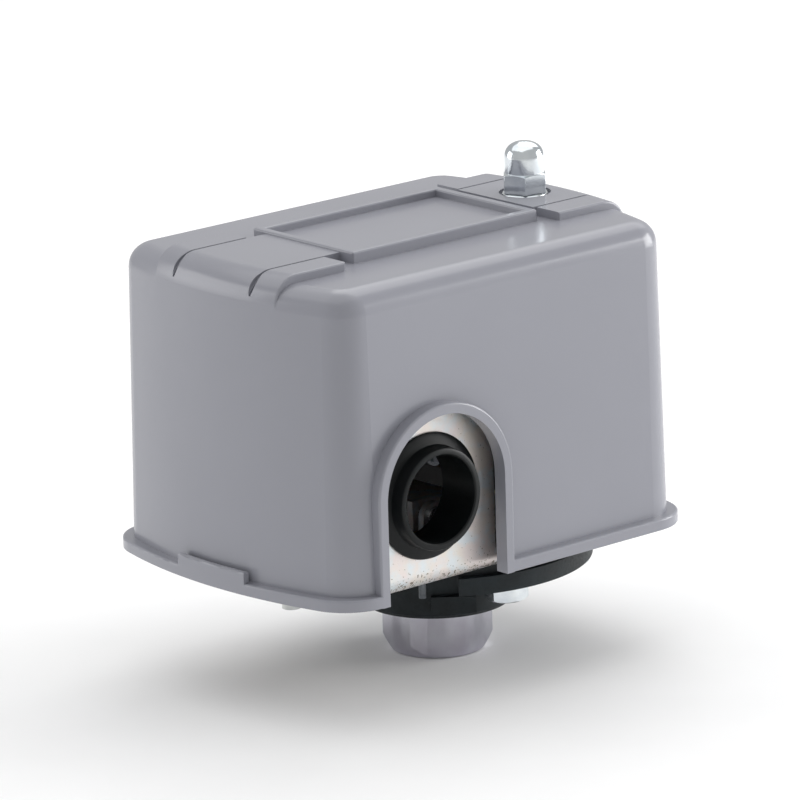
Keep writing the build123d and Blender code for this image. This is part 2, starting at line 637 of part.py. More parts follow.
# ---- contact arm with its bridges and springs ----
bridge_x = block_x[1] + 0.8 + 0.3
arm_face = arm_x - 1.5
with BuildPart() as arm:
    with Locations((arm_face, 0, 43.0)):
        Box(3.0, 48.0, 19.0, align=(Align.MIN, Align.CENTER, Align.MIN))
    for side in (-1, 1):
        with Locations((arm_face, side * 22.5, 37.0)):
            Box(3.0, 8.0, 8.0, align=(Align.MIN, Align.CENTER, Align.MIN))
        with BuildSketch(Plane.XZ.offset(side * 22.5 + 4)):
            with Locations((arm_x, arm_z)):
                Circle(2.8)
        extrude(amount=-8)
    with BuildSketch(Plane.XZ.offset(60)):
        with Locations((arm_x, arm_z)):
            Circle(pin_r + fit)
    extrude(amount=-120, mode=Mode.SUBTRACT)
    for y in (-13.5, 13.5):
        with BuildSketch(Plane((arm_face, y, contact_z), x_dir=(0, 1, 0), z_dir=(1, 0, 0))):
            Circle(2.6)
        extrude(amount=1.0, mode=Mode.SUBTRACT)
save(arm.part, "contact_arm")

with BuildPart() as bridges:
    for y in (-13.5, 13.5):
        with Locations((bridge_x + 0.7, y, contact_z)):
            Box(0.9, 18.0, 5.6, align=(Align.MIN, Align.CENTER, Align.CENTER))
        for side in (-1, 1):
            with BuildSketch(Plane((bridge_x, y + side * 6.5, contact_z), x_dir=(0, 1, 0),
                                   z_dir=(1, 0, 0))):
                Circle(2.4)
            extrude(amount=0.7)
save(bridges.part, "contact_bridges")

with BuildPart() as contact_springs:
    for y in (-13.5, 13.5):
        with BuildSketch(Plane((bridge_x + 1.6, y, contact_z), x_dir=(0, 1, 0), z_dir=(1, 0, 0))):
            Circle(2.4)
            Circle(1.7, mode=Mode.SUBTRACT)
        extrude(amount=arm_face + 1.0 - bridge_x - 1.6)
save(contact_springs.part, "contact_springs")

with BuildPart() as toggle_spring:
    with BuildSketch(Plane((arm_face + 3.3, -11.5, 50.0), x_dir=(0, 1, 0), z_dir=(1, 0, 0))):
        Circle(2.2)
        Circle(1.5, mode=Mode.SUBTRACT)
    extrude(amount=14.0 - sheet / 2 - 0.3 - arm_face - 3.3)
save(toggle_spring.part, "toggle_spring")
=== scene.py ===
# Pump pressure switch on a pale studio floor: finishes for every part, turned and wound pieces, light
import math

import bmesh
import bpy
import numpy as np
from mathutils import Matrix, Vector


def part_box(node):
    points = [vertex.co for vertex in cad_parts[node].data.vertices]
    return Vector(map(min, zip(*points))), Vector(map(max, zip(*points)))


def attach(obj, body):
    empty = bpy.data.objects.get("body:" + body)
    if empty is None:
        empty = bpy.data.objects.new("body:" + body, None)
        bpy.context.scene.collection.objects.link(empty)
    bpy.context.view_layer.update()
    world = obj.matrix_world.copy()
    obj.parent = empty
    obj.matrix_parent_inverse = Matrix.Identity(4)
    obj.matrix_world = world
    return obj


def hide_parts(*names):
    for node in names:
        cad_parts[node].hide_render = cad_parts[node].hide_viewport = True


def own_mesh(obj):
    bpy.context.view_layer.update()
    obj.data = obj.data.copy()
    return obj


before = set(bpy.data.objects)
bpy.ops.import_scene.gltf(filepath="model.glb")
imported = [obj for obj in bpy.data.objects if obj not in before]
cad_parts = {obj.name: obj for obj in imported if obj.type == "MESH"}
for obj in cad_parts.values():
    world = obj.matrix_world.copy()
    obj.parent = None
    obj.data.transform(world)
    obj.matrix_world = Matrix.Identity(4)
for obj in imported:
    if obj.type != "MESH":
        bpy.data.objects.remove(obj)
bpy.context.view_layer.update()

mm = 0.001
print("frame loaded:", len(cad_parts), "nodes")


# Camera: the usual three-quarter product view with a long lens
cameraSettings = {
    "place": (-0.85597, -0.98265, 0.40389),
    "azimuth": -40.772,     # degrees, 0 looks along +Y
    "elevation": 15.053,
    "roll": -1.672,
    "lens": 291.4,          # mm on a 36 mm sensor
}


# back points from the object to the camera, and the roll turns right and up about it
def cameraAxes(azimuth, elevation, roll):
    a, e, r = (math.radians(angle) for angle in (azimuth, elevation, roll))
    back = Vector((math.sin(a) * math.cos(e), -math.cos(a) * math.cos(e), math.sin(e)))
    right = Vector((math.cos(a), math.sin(a), 0))
    up = back.cross(right)
    return right * math.cos(r) + up * math.sin(r), up * math.cos(r) - right * math.sin(r), back


def placeCamera(settings):
    camera = bpy.data.objects.new("camera", bpy.data.cameras.new("camera"))
    bpy.context.scene.collection.objects.link(camera)
    camera.data.lens = settings["lens"]
    camera.data.sensor_width = 36
    camera.data.clip_start = 0.01
    axes = cameraAxes(settings["azimuth"], settings["elevation"], settings["roll"])
    turn = Matrix(axes).transposed().to_4x4()
    camera.matrix_world = Matrix.Translation(settings["place"]) @ turn
    bpy.context.scene.camera = camera


placeCamera(cameraSettings)
bpy.context.scene.view_settings.view_transform = "Standard"
print("camera placed")


# Materials
# sRGB hex to linear, by the sRGB curve
def linearColour(hexText):
    values = np.array([int(hexText[i:i + 2], 16) for i in (1, 3, 5)]) / 255
    linear = np.where(values <= 0.04045, values / 12.92, ((values + 0.055) / 1.055) ** 2.4)
    return (*linear.tolist(), 1.0)


# one node with its settings and its incoming links; keys are socket names or numbers, or properties
def addNode(tree, kind, settings=None, links=None):
    node = tree.nodes.new(kind)
    for key, value in (settings or {}).items():
        if isinstance(key, int) or key in node.inputs:
            node.inputs[key].default_value = value
        else:
            setattr(node, key, value)
    for key, socket in (links or {}).items():
        tree.links.new(socket, node.inputs[key])
    return node


def newMaterial(name, shader):
    material = bpy.data.materials.new(name)
    material.use_nodes = True
    tree = material.node_tree
    tree.nodes.clear()
    coords = addNode(tree, "ShaderNodeTexCoord").outputs["Object"]
    surface = addNode(tree, "ShaderNodeBsdfPrincipled", shader)
    addNode(tree, "ShaderNodeOutputMaterial", links={"Surface": surface.outputs["BSDF"]})
    return material, tree, coords, surface


# the range that most of a noise's values lie in, wide and narrow, and a Map Range node's four sockets
noiseWide, noiseNarrow = (0.3, 0.7), (0.35, 0.65)
rangeKeys = ("From Min", "From Max", "To Min", "To Max")
fineRelief = 0.02 * mm


# Injection-moulded ABS, semi-gloss from a lightly sparked tool: a fine orange peel of about 0.8 mm softens
# the reflections, and broad flow marks shift grey and gloss a little
def mouldedAbs(settings):
    material, tree, coords, surface = newMaterial("abs_moulded_grey", {"IOR": 1.53})
    flow = addNode(tree, "ShaderNodeTexNoise", {"Scale": settings["flowScale"], "Detail": 3.0},
                   {"Vector": coords}).outputs["Fac"]
    peel = addNode(tree, "ShaderNodeTexNoise", {"Scale": settings["peelScale"], "Detail": 2.0},
                   {"Vector": coords}).outputs["Fac"]
    tones = {"data_type": "RGBA", 6: linearColour(settings["dark"]), 7: linearColour(settings["light"])}
    colour = addNode(tree, "ShaderNodeMix", tones, {0: flow})
    gloss = addNode(tree, "ShaderNodeMapRange", dict(zip(rangeKeys, (*noiseWide, *settings["roughness"]))),
                    {"Value": flow})
    bump = addNode(tree, "ShaderNodeBump", {"Strength": settings["peel"], "Distance": fineRelief},
                   {"Height": peel})
    tree.links.new(colour.outputs[2], surface.inputs["Base Color"])
    tree.links.new(gloss.outputs["Result"], surface.inputs["Roughness"])
    tree.links.new(bump.outputs["Normal"], surface.inputs["Normal"])
    return material


# A cloud drifts the colour between two hexes; a fine grain moves the roughness and bumps the surface
def grainedFinish(name, shader, settings):
    material, tree, coords, surface = newMaterial(name, shader)
    if "stretch" in settings:
        coords = addNode(tree, "ShaderNodeMapping", {"Scale": settings["stretch"]},
                         {"Vector": coords}).outputs[0]
    cloud = addNode(tree, "ShaderNodeTexNoise", {"Scale": settings["cloudScale"], "Detail": 4.0},
                    {"Vector": coords}).outputs["Fac"]
    noise = {"Scale": settings["grainScale"], "Detail": settings["detail"], "Roughness": settings["decay"]}
    grain = addNode(tree, "ShaderNodeTexNoise", noise, {"Vector": coords}).outputs["Fac"]
    drift = addNode(tree, "ShaderNodeMapRange", dict(zip(rangeKeys, (*noiseNarrow, 0.0, 1.0))),
                    {"Value": cloud})
    tones = {"data_type": "RGBA", 6: linearColour(settings["dark"]), 7: linearColour(settings["light"])}
    colour = addNode(tree, "ShaderNodeMix", tones, {0: drift.outputs["Result"]})
    gloss = addNode(tree, "ShaderNodeMapRange", dict(zip(rangeKeys, (*noiseWide, *settings["roughness"]))),
                    {"Value": grain})
    bump = addNode(tree, "ShaderNodeBump", {"Strength": settings["grain"], "Distance": settings["relief"]},
                   {"Height": grain})
    tree.links.new(colour.outputs[2], surface.inputs["Base Color"])
    tree.links.new(gloss.outputs["Result"], surface.inputs["Roughness"])
    tree.links.new(bump.outputs["Normal"], surface.inputs["Normal"])
    return material


# plated or bare metal
def metalFinish(name, settings):
    grain = {"detail": 3.0, "decay": 0.5, "relief": fineRelief}
    return grainedFinish(name, {"Metallic": 1.0}, {**grain, **settings})


# moulded plastics, rubber and coatings, with a dielectric's gloss
def dullFinish(name, settings):
    shader = {"IOR": settings.get("ior", 1.5), "Specular IOR Level": settings.get("specular", 0.5)}
    grain = {"detail": 4.0, "decay": 0.6, "relief": fineRelief}
    return grainedFinish(name, shader, {**grain, **settings})


# scales are cells per metre, so 2000 is a grain of half a millimetre
coverPlastic = mouldedAbs({"dark": "#8b8c94", "light": "#92939b", "flowScale": 22.0, "peelScale": 1300.0,
                           "peel": 0.10, "roughness": (0.19, 0.25)})
# clear bright zinc plate on cold-headed or turned steel: nearly mirror, faintly blue
brightZinc = metalFinish("zinc_plate_bright", {
    "dark": "#d0d6db", "light": "#e4e9eb", "cloudScale": 260.0, "grainScale": 2400.0,
    "grain": 0.1, "roughness": (0.09, 0.19)})


# zinc-plated rolled sheet: pale and satin, the chromate drifting between cream, rose and blue, with dark
# specks
#  that grow denser down the bend towards the foot of the wall
def platedSheet(settings):
    material, tree, coords, surface = newMaterial("zinc_plate_rolled_sheet", {"Metallic": 0.9})
    cloud = addNode(tree, "ShaderNodeTexNoise", {"Scale": settings["cloudScale"], "Detail": 4.0},
                    {"Vector": coords}).outputs["Fac"]
    shift = addNode(tree, "ShaderNodeMapping", {"Location": (0.3, 0.7, 0.2)}, {"Vector": coords}).outputs[0]
    bloom = addNode(tree, "ShaderNodeTexNoise", {"Scale": settings["bloomScale"], "Detail": 5.0},
                    {"Vector": shift}).outputs["Fac"]
    grain = addNode(tree, "ShaderNodeTexNoise", {"Scale": settings["grainScale"], "Detail": 3.0},
                    {"Vector": coords}).outputs["Fac"]
    blush = addNode(tree, "ShaderNodeMapRange", dict(zip(rangeKeys, (*settings["blushRange"], 0.0, 1.0))),
                    {"Value": cloud})
    tones = {"data_type": "RGBA", 6: linearColour(settings["cream"]), 7: linearColour(settings["rose"])}
    warm = addNode(tree, "ShaderNodeMix", tones, {0: blush.outputs["Result"]})
    cooling = addNode(tree, "ShaderNodeMapRange", dict(zip(rangeKeys, (*settings["bloomRange"], 0.0, 1.0))),
                      {"Value": bloom})
    both = addNode(tree, "ShaderNodeMix", {"data_type": "RGBA", 7: linearColour(settings["blue"])},
                   {0: cooling.outputs["Result"], 6: warm.outputs[2]})
    # dark specks wherever the fine grain falls under a threshold that rises from bendTop down to bendLow, so
    # the sheet turns darker towards the foot of the wall
    height = addNode(tree, "ShaderNodeSeparateXYZ", links={"Vector": coords}).outputs["Z"]
    bend = (settings["bendTop"] * mm, settings["bendLow"] * mm, *settings["speckling"])
    crowding = addNode(tree, "ShaderNodeMapRange", dict(zip(rangeKeys, bend)), {"Value": height})
    speck = addNode(tree, "ShaderNodeMath", {"operation": "LESS_THAN"},
                  {0: grain, 1: crowding.outputs["Result"]})
    colour = addNode(tree, "ShaderNodeMix", {"data_type": "RGBA", 7: linearColour(settings["speck"])},
                     {0: speck.outputs[0], 6: both.outputs[2]})
    gloss = addNode(tree, "ShaderNodeMapRange", dict(zip(rangeKeys, (*noiseWide, *settings["roughness"]))),
                    {"Value": grain})
    bump = addNode(tree, "ShaderNodeBump", {"Strength": 0.3, "Distance": fineRelief}, {"Height": grain})
    tree.links.new(colour.outputs[2], surface.inputs["Base Color"])
    tree.links.new(gloss.outputs["Result"], surface.inputs["Roughness"])
    tree.links.new(bump.outputs["Normal"], surface.inputs["Normal"])
    return material


zincSheet = platedSheet({"cream": "#dfd9d0", "rose": "#e0d7d4", "blue": "#d7dde0", "speck": "#857d70",
                         "cloudScale": 170.0, "bloomScale": 260.0, "grainScale": 2000.0,
                         "blushRange": (0.38, 0.62), "bloomRange": (0.45, 0.65),
                         "bendTop": 30.5, "bendLow": 27.0, "speckling": (0.30, 0.43), "roughness": (0.34, 0.5)})
# turned hexagon bar, smooth zinc with a lilac cast from the passivation
turnedZinc = metalFinish("zinc_plate_turned_bar", {
    "dark": "#bcb9c4", "light": "#cacad2", "cloudScale": 160.0, "grainScale": 1800.0,
    "grain": 0.1, "roughness": (0.13, 0.21)})
# nylon moulding in near-black: satin, soft broad highlights
mouldedNylon = dullFinish("nylon_moulded_black", {
    "dark": "#070a0b", "light": "#0c1011", "cloudScale": 150.0, "grainScale": 2200.0,
    "grain": 0.2, "roughness": (0.34, 0.46), "specular": 0.25})
# die casting under a thin dark coating: matt, a pebbly skin of about 0.6 mm
coatedCasting = dullFinish("aluminium_cast_dark_coat", {
    "dark": "#10171a", "light": "#1a2327", "cloudScale": 180.0, "grainScale": 1600.0,
    "grain": 0.5, "relief": 0.05 * mm, "roughness": (0.45, 0.62), "specular": 0.3})
# blackened steel ring, darker and a little smoother than the casting
blackSteel = dullFinish("steel_black_oxide", {
    "dark": "#0f1416", "light": "#181e21", "cloudScale": 200.0, "grainScale": 1800.0,
    "grain": 0.3, "relief": 0.03 * mm, "roughness": (0.4, 0.55), "specular": 0.35})
# nitrile sheet with a cloth backing: dead matt
nitrileSheet = dullFinish("rubber_nitrile_sheet", {
    "dark": "#151515", "light": "#1f1e1d", "cloudScale": 200.0, "grainScale": 2600.0,
    "grain": 0.5, "relief": 0.05 * mm, "roughness": (0.7, 0.85)})


# zinc on the ground screws, dyed green from the head's underside up, the usual earth mark
def dyedZinc(settings):
    material = metalFinish("zinc_plate_green_dye", settings)
    tree = material.node_tree
    surface = tree.nodes["Principled BSDF"]
    plain = surface.inputs["Base Color"].links[0].from_socket
    coords = addNode(tree, "ShaderNodeTexCoord").outputs["Object"]
    height = addNode(tree, "ShaderNodeSeparateXYZ", links={"Vector": coords}).outputs["Z"]
    dyed = addNode(tree, "ShaderNodeMath", {"operation": "GREATER_THAN", 1: settings["dyeLow"] * mm},
                   {0: height})
    mix = addNode(tree, "ShaderNodeMix", {"data_type": "RGBA", 7: linearColour(settings["dye"])},
                  {0: dyed.outputs[0], 6: plain})
    tree.links.new(mix.outputs[2], surface.inputs["Base Color"])
    return material


greenZinc = dyedZinc({"dark": "#b4b6b6", "light": "#d2d3d0", "cloudScale": 300.0, "grainScale": 2400.0,
                      "grain": 0.15, "roughness": (0.25, 0.4), "dye": "#2a7a44", "dyeLow": 27.3})
# turned free-cutting brass: warm and satin
turnedBrass = metalFinish("brass_turned", {
    "dark": "#b08d4a", "light": "#cdb070", "cloudScale": 260.0, "grainScale": 2600.0,
    "grain": 0.2, "roughness": (0.22, 0.38)})
# stamped brass strip, a little paler
stampedBrass = metalFinish("brass_stamped_strip", {
    "dark": "#a88b55", "light": "#d6c08a", "cloudScale": 200.0, "grainScale": 1800.0,
    "grain": 0.25, "roughness": (0.28, 0.45)})
# patented music wire, drawn bright: a slightly mottled grey
musicWire = metalFinish("steel_drawn_music_wire", {
    "dark": "#77797d", "light": "#a2a4a8", "cloudScale": 400.0, "grainScale": 3000.0,
    "grain": 0.3, "roughness": (0.25, 0.42)})
# centreless-ground pin steel
groundSteel = metalFinish("steel_ground_pin", {
    "dark": "#9a9b9d", "light": "#b9babc", "cloudScale": 500.0, "grainScale": 3200.0,
    "grain": 0.2, "roughness": (0.2, 0.32), "stretch": (1.0, 0.12, 1.0)})
# spring-steel dowel with a dull phosphate skin
dullDowel = metalFinish("steel_dowel_phosphate", {
    "dark": "#54585c", "light": "#6e7276", "cloudScale": 500.0, "grainScale": 3000.0,
    "grain": 0.2, "roughness": (0.4, 0.55)})
# rolled thread in zinc plate
rolledThread = metalFinish("zinc_plate_rolled_thread", {
    "dark": "#b4b6b6", "light": "#d2d3d0", "cloudScale": 300.0, "grainScale": 2400.0,
    "grain": 0.2, "roughness": (0.24, 0.4)})
# phenolic moulding compound: black, fairly glossy, with a faint flow marbling
mouldedPhenolic = dullFinish("phenolic_moulded_black", {
    "dark": "#151312", "light": "#231f1d", "cloudScale": 90.0, "grainScale": 1400.0,
    "grain": 0.2, "roughness": (0.28, 0.4), "ior": 1.6})
# ivory thermoset of the moving arm, mineral filled: waxy, fine speckle
mouldedThermoset = dullFinish("polyester_moulded_ivory", {
    "dark": "#c9c0a8", "light": "#dcd5c2", "cloudScale": 420.0, "grainScale": 2000.0,
    "grain": 0.25, "roughness": (0.4, 0.55), "ior": 1.56})
# silver contact buttons and copper strip
silverButton = metalFinish("silver_contact_rivet", {
    "dark": "#cfcdc8", "light": "#ecebe6", "cloudScale": 500.0, "grainScale": 3000.0,
    "grain": 0.2, "roughness": (0.2, 0.34)})
copperStrip = metalFinish("copper_rolled_strip", {
    "dark": "#b06a48", "light": "#d08f6c", "cloudScale": 240.0, "grainScale": 2000.0,
    "grain": 0.2, "roughness": (0.24, 0.4)})

nodeFinish = {
    "cover": coverPlastic, "cap_nut": brightZinc, "frame_bracket": zincSheet, "frame_walls": zincSheet,
    "pivot_ears": zincSheet,
    "conduit_bushing_front": mouldedNylon, "conduit_bushing_rear": mouldedNylon,
    "bushing_retainer_front": zincSheet, "bushing_retainer_rear": zincSheet,
    "ground_screws": greenZinc, "pressure_housing": coatedCasting, "port_fitting": turnedZinc,
    "diaphragm": nitrileSheet, "clamp_ring": blackSteel, "piston": turnedBrass,
    "flange_bolts": brightZinc, "housing_dowel": dullDowel, "pressure_lever": zincSheet,
    "lever_pivot_pin": groundSteel, "arm_pivot_pin": groundSteel, "range_stud": rolledThread,
    "differential_stud": rolledThread, "stud_foot_nuts": brightZinc, "range_spring_seat": zincSheet,
    "differential_spring_seat": zincSheet, "range_nut": brightZinc, "differential_nut": brightZinc,
    "range_spring": musicWire, "differential_spring": musicWire, "toggle_spring": musicWire,
    "contact_springs": musicWire, "terminal_block": mouldedPhenolic, "terminal_plates": stampedBrass,
    "terminal_clamps": stampedBrass, "terminal_screws": brightZinc, "fixed_contacts": silverButton,
    "block_screws": brightZinc, "contact_arm": mouldedThermoset, "contact_bridges": copperStrip,
}
for nodeName, finish in nodeFinish.items():
    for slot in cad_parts[nodeName].material_slots:
        slot.material = finish
print("materials made:", len(set(nodeFinish.values())))


# Pieces worked out as grids of points
# rows and columns of points become quads; a closed direction joins its last line to its first
def quadsOf(shape, closeRows, closeColumns, offset):
    rows, columns = shape[:2]
    a, b = np.meshgrid(np.arange(rows if closeRows else rows - 1),
                       np.arange(columns if closeColumns else columns - 1), indexing="ij")
    downRow, nextColumn = (a + 1) % rows, (b + 1) % columns
    corners = (a * columns + b, a * columns + nextColumn,
               downRow * columns + nextColumn, downRow * columns + b)
    return np.stack(corners, -1).reshape(-1, 4) + offset


# grids: (points, closeRows, closeColumns); doubles at seams and poles are merged and faces turned outwards
def makePiece(name, grids, finish, body, replaced, bevel=0.0, sharpAngle=32.0):
    vertices, faces, offset = [], [], 0
    for points, closeRows, closeColumns in grids:
        vertices.append(points.reshape(-1, 3))
        faces.append(quadsOf(points.shape, closeRows, closeColumns, offset))
        offset += points.shape[0] * points.shape[1]
    mesh = bpy.data.meshes.new(name)
    mesh.from_pydata(np.concatenate(vertices).tolist(), [], np.concatenate(faces).tolist())
    work = bmesh.new()
    work.from_mesh(mesh)
    bmesh.ops.remove_doubles(work, verts=work.verts, dist=0.002 * mm)
    bmesh.ops.dissolve_degenerate(work, edges=work.edges, dist=0.001 * mm)
    bmesh.ops.recalc_face_normals(work, faces=work.faces)
    work.to_mesh(mesh)
    work.free()
    mesh.polygons.foreach_set("use_smooth", np.ones(len(mesh.polygons), bool))
    mesh.set_sharp_from_angle(angle=math.radians(sharpAngle))
    mesh.materials.append(finish)
    piece = bpy.data.objects.new(name, mesh)
    bpy.context.scene.collection.objects.link(piece)
    if bevel:
        rounding = piece.modifiers.new("edge", "BEVEL")
        rounding.width, rounding.segments = bevel, 2
        rounding.limit_method, rounding.angle_limit = "ANGLE", math.radians(sharpAngle)
    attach(piece, body)
    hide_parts(*replaced)
    return piece


# middle of a node's box, its lowest and highest z
def nodeAxis(node):
    low, high = (np.array(corner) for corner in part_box(node))
    return (low + high) / 2, low[2], high[2]


# a profile of (radius, height) carried round the z axis through a centre
def turned(profile, centre, steps):
    radius, height = np.array(profile, float).T
    angle = np.linspace(0, 2 * np.pi, steps, endpoint=False)
    x = centre[0] + radius[:, None] * np.cos(angle)
    y = centre[1] + radius[:, None] * np.sin(angle)
    return np.stack([x, y, np.broadcast_to(height[:, None], x.shape)], -1)


# radius of a hexagon at each angle: apothem over the cosine of the angle from the nearest flat's middle
def hexRadius(angle, apothem, corner):
    fromFlat = (angle - corner) % (np.pi / 3) - np.pi / 6
    return apothem / np.cos(fromFlat)


# A hexagon prism whose ends are chamfered by cones: rows of points at the hole, the faces' rims and the two
# curves where the cones meet the flats. The cone drops by slope for each unit beyond the rim's radius.
def hexRows(flats, low, high, hole, corner, slope=0.5, lowRim=0.98, highRim=0.98, steps=96):
    angle = np.linspace(0, 2 * np.pi, steps, endpoint=False) + corner
    flat = hexRadius(angle, flats / 2, corner)
    rims = flats / 2 * lowRim, flats / 2 * highRim
    one = np.ones(steps)
    rows = [(hole * one, low * one), (rims[0] * one, low * one), (flat, low + slope * (flat - rims[0])),
            (flat, high - slope * (flat - rims[1])), (rims[1] * one, high * one), (hole * one, high * one)]
    return [(radius, angle, height) for radius, height in rows]


def rowsToPoints(rows, centre):
    return np.stack([np.stack([centre[0] + radius * np.cos(angle),
                               centre[1] + radius * np.sin(angle), height], -1)
                     for radius, angle, height in rows])


# A 60 degree screw thread: radius falls from crest to root by a triangle wave of height over pitch less turn
def threadGrid(crest, depth, pitch, low, high, centre, steps=40, perPitch=10):
    height = np.linspace(low, high, max(int((high - low) / pitch * perPitch), 2))[:, None]
    angle = np.linspace(0, 2 * np.pi, steps, endpoint=False)[None, :]
    phase = (height / pitch - angle / (2 * np.pi)) % 1.0
    wave = np.clip(np.abs(phase - 0.5) * 2 * 1.25 - 0.12, 0, 1)
    fade = np.clip(np.minimum(height - low, high - height) / (0.7 * pitch), 0, 1)
    radius = crest - depth * (1 - fade + fade * wave)
    x = centre[0] + radius * np.cos(angle)
    y = centre[1] + radius * np.sin(angle)
    return np.stack([x, y, np.broadcast_to(height, x.shape)], -1)


# Cap nut: washer face, hexagon and a long dome
capNutSettings = {"flats": 8.7 * mm, "washerR": 4.85 * mm, "washerH": 0.8 * mm, "hexH": 4.3 * mm,
                  "domeR": 4.2 * mm, "domeWall": 3.1 * mm, "bore": 2.15 * mm, "boreH": 8.0 * mm,
                  "corner": math.radians(49.2), "lead": 0.4 * mm, "edge": 0.25 * mm, "sink": 0.1 * mm,
                  "power": 2.3, "domeSteps": 14}


# the dome's side is straight, then a superellipse closes it at the top
def capNut(settings):
    centre, low, high = nodeAxis("cap_nut")
    s = settings
    hexLow = low + s["washerH"]
    hexHigh = hexLow + s["hexH"]
    rows = hexRows(s["flats"], hexLow - s["sink"], hexHigh, 0.0, s["corner"], slope=0.45, highRim=0.965)
    angle = rows[0][1]
    one = np.ones_like(angle)
    boreTop = low + s["boreH"]
    skirt = [(s["bore"], boreTop), (s["bore"], low + s["lead"]), (s["bore"] + s["lead"], low),
             (s["washerR"] - s["edge"], low), (s["washerR"], low + s["edge"]),
             (s["washerR"], hexLow - 0.2 * mm), (s["washerR"] - 0.2 * mm, hexLow),
             (s["flats"] / 2 * 0.99, hexLow + 0.02 * mm)]
    shoulder = hexHigh + s["domeWall"]
    roundH = high - shoulder
    dome = [(s["domeR"], hexHigh + s["sink"] / 2), (s["domeR"], shoulder)]
    for turn in np.linspace(0, np.pi / 2, s["domeSteps"])[1:]:
        inward, upward = math.cos(turn) ** (2 / s["power"]), math.sin(turn) ** (2 / s["power"])
        dome.append((s["domeR"] * inward, shoulder + roundH * upward))
    allRows = [(0 * one, angle, (boreTop + s["lead"]) * one)]
    allRows += [(radius * one, angle, height * one) for radius, height in skirt]
    allRows += rows[2:5]
    allRows += [(radius * one, angle, height * one) for radius, height in dome]
    points = rowsToPoints(allRows, centre)
    return makePiece("cap_nut_turned", [(points, False, True)], brightZinc, "cap_nut", ["cap_nut"], 0.08 * mm)


capNut(capNutSettings)


# Hexagon nuts on the studs, each over its own node; the bore's ends are coned by the lead
nutSettings = {
    "range_nut": {"flats": 11.1 * mm, "hole": 3.05 * mm},
    "differential_nut": {"flats": 8.7 * mm, "hole": 2.45 * mm},
}
nutLead, nutEdge = 0.3 * mm, 0.08 * mm
for nodeName, s in nutSettings.items():
    centre, low, high = nodeAxis(nodeName)
    hole, mouth = s["hole"], s["hole"] + nutLead
    hexPart = rowsToPoints(hexRows(s["flats"], low, high, mouth, 0.0), centre)
    bore = turned([(mouth, low), (hole, low + nutLead), (hole, high - nutLead), (mouth, high)], centre, 96)
    piece = makePiece(nodeName + "_hex", [(hexPart, False, True), (bore, False, True)], brightZinc, nodeName,
                      [nodeName], nutEdge)

footNutSettings = {"range_stud": {"flats": 9.5 * mm, "hole": 3.0 * mm},
                   "differential_stud": {"flats": 8.0 * mm, "hole": 2.4 * mm}}
low, high = nodeAxis("stud_foot_nuts")[1:]
grids = []
for stud, s in footNutSettings.items():
    rows = hexRows(s["flats"], low, high, s["hole"], 0.0)
    grids.append((rowsToPoints(rows, nodeAxis(stud)[0]), True, True))
piece = makePiece("stud_foot_nuts_hex", grids, brightZinc, "frame", ["stud_foot_nuts"], nutEdge)
print("nuts done")


# Flange bolts: domed hexagon heads with a washer face, and their shanks
boltSettings = {"circle": 27.5 * mm, "clock": -99.7, "count": 5, "flats": 8.0 * mm, "headH": 3.4 * mm,
                "shank": 2.0 * mm, "corner": math.radians(15)}


def flangeBolts(settings):
    s = settings
    low, high = nodeAxis("flange_bolts")[1:]
    under = low + s["headH"]
    rows = hexRows(s["flats"], low, under, 0.0, s["corner"], slope=0.6, lowRim=0.9, highRim=1.0)
    angle = rows[0][1]
    one = np.ones_like(angle)
    end = [(s["shank"], under), (s["shank"], high - 0.5 * mm), (s["shank"] - 0.5 * mm, high), (0.0, high)]
    rows = rows[:5] + [(radius * one, angle, height * one) for radius, height in end]
    grids = []
    for index in range(s["count"]):
        turn = math.radians(s["clock"] + 60 * index)
        place = (s["circle"] * math.cos(turn), s["circle"] * math.sin(turn))
        grids.append((rowsToPoints(rows, place), False, True))
    return makePiece("flange_bolts_hex", grids, brightZinc, "frame", ["flange_bolts"], 0.1 * mm)


flangeBolts(boltSettings)


# Port fitting: hexagon bar turned to a cone at its mouth, with a pipe thread inside
portSettings = {"flats": 20.0 * mm, "corner": math.radians(18.5), "hexTop": 10.3 * mm, "mouthR": 9.9 * mm,
                "slope": 1.75, "spigot": 7.48 * mm, "spigotEdge": 0.4 * mm, "hole": 2.5 * mm,
                "threadR": 5.95 * mm, "threadDepth": 0.5 * mm, "pitch": 1.41 * mm, "threadEnd": 9.0 * mm,
                "lead": 0.8 * mm, "stepsPerPitch": 10}


def portFitting(settings):
    s = settings
    low, high = nodeAxis("port_fitting")[1:]
    rows = hexRows(s["flats"], low, s["hexTop"], 0.0, s["corner"], slope=0.3)
    flat, angle = rows[2][:2]
    one = np.ones_like(angle)

    def rings(profile):
        return [(radius * one, angle, height * one) for radius, height in profile]

    # inside, from the top down: the drilled channel, the thread's end and then the thread itself, whose
    # radius is a triangle wave of the height over the pitch less the turn
    inside = rings([(s["hole"], high), (s["hole"], s["threadEnd"] + 0.1 * mm),
                    (s["threadR"] - s["threadDepth"], s["threadEnd"])])
    steps = int((s["threadEnd"] - low) / s["pitch"] * s["stepsPerPitch"])
    thread = []
    for height in np.linspace(s["threadEnd"], low + s["lead"], steps):
        phase = (height / s["pitch"] - angle / (2 * np.pi)) % 1.0
        wave = np.clip(np.abs(phase - 0.5) * 2.5 - 0.12, 0, 1)
        thread.append((s["threadR"] - s["threadDepth"] * wave, angle, height * one))
    mouth = rings([(s["threadR"] + 0.2 * mm, low), (s["mouthR"], low)])
    hexagon = [(flat, angle, low + s["slope"] * (flat - s["mouthR"])), rows[3], rows[4]]
    spigot = rings([(s["spigot"], s["hexTop"]), (s["spigot"], high - s["spigotEdge"]),
                    (s["spigot"] - s["spigotEdge"], high)])
    points = rowsToPoints(inside + thread + mouth + hexagon + spigot, (0, 0))
    return makePiece("port_fitting_turned", [(points, True, True)], turnedZinc, "frame", ["port_fitting"],
                     0.12 * mm)


portFitting(portSettings)
print("bolts and port done")


